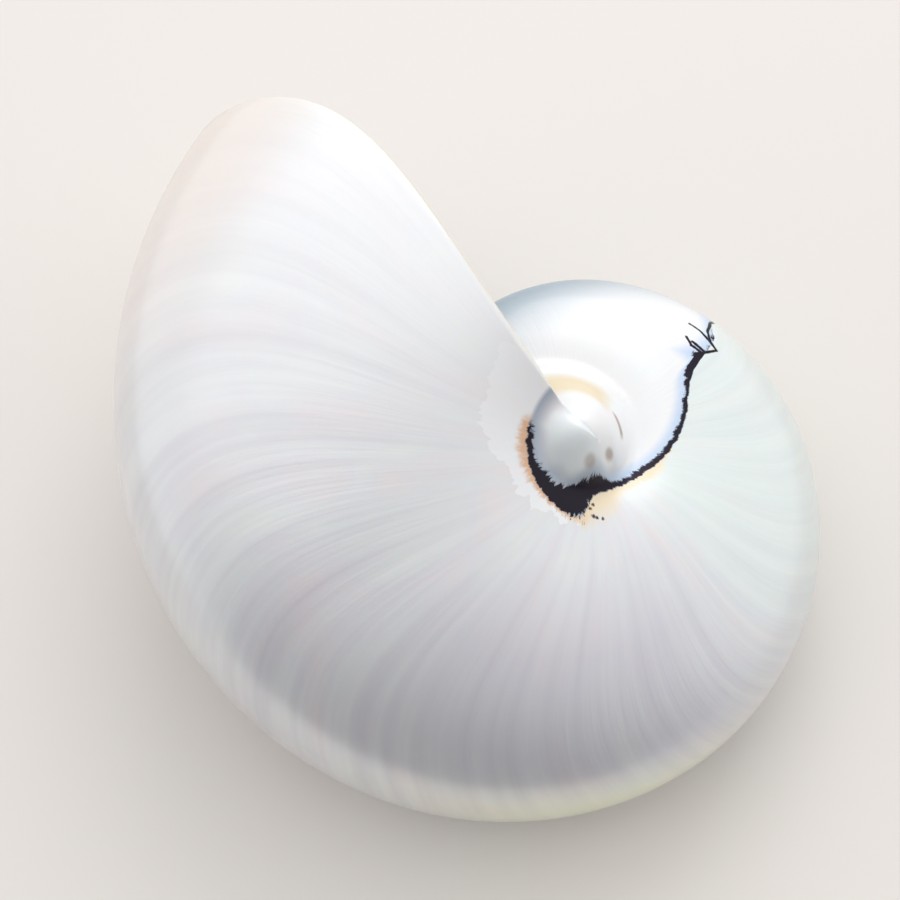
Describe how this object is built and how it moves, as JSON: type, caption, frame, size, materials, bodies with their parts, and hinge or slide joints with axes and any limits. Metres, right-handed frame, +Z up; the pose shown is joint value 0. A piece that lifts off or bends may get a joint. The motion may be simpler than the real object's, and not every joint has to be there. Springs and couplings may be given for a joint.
{
  "type": "whole nautilus shell",
  "caption": "Polished chambered spiral sea shell lying on its flank, with an open body chamber, a wide curved lip and pearly nacre.",
  "frame": {"origin": "centre of the bounding box at the height of the surface that the shell lies on", "axes": "+Z up from the resting flank to the upper flank, +X to the right and +Y away from a viewer who faces the closed side, with the aperture opening towards +X and +Y"},
  "size_m": [0.0968, 0.0954, 0.0534],
  "materials": {
    "nacre": "polished mother-of-pearl: glossy white with faint lavender, pink and green iridescence"
  },
  "bodies": {
    "root": {"shell": "nacre"}
  },
  "joints": []
}
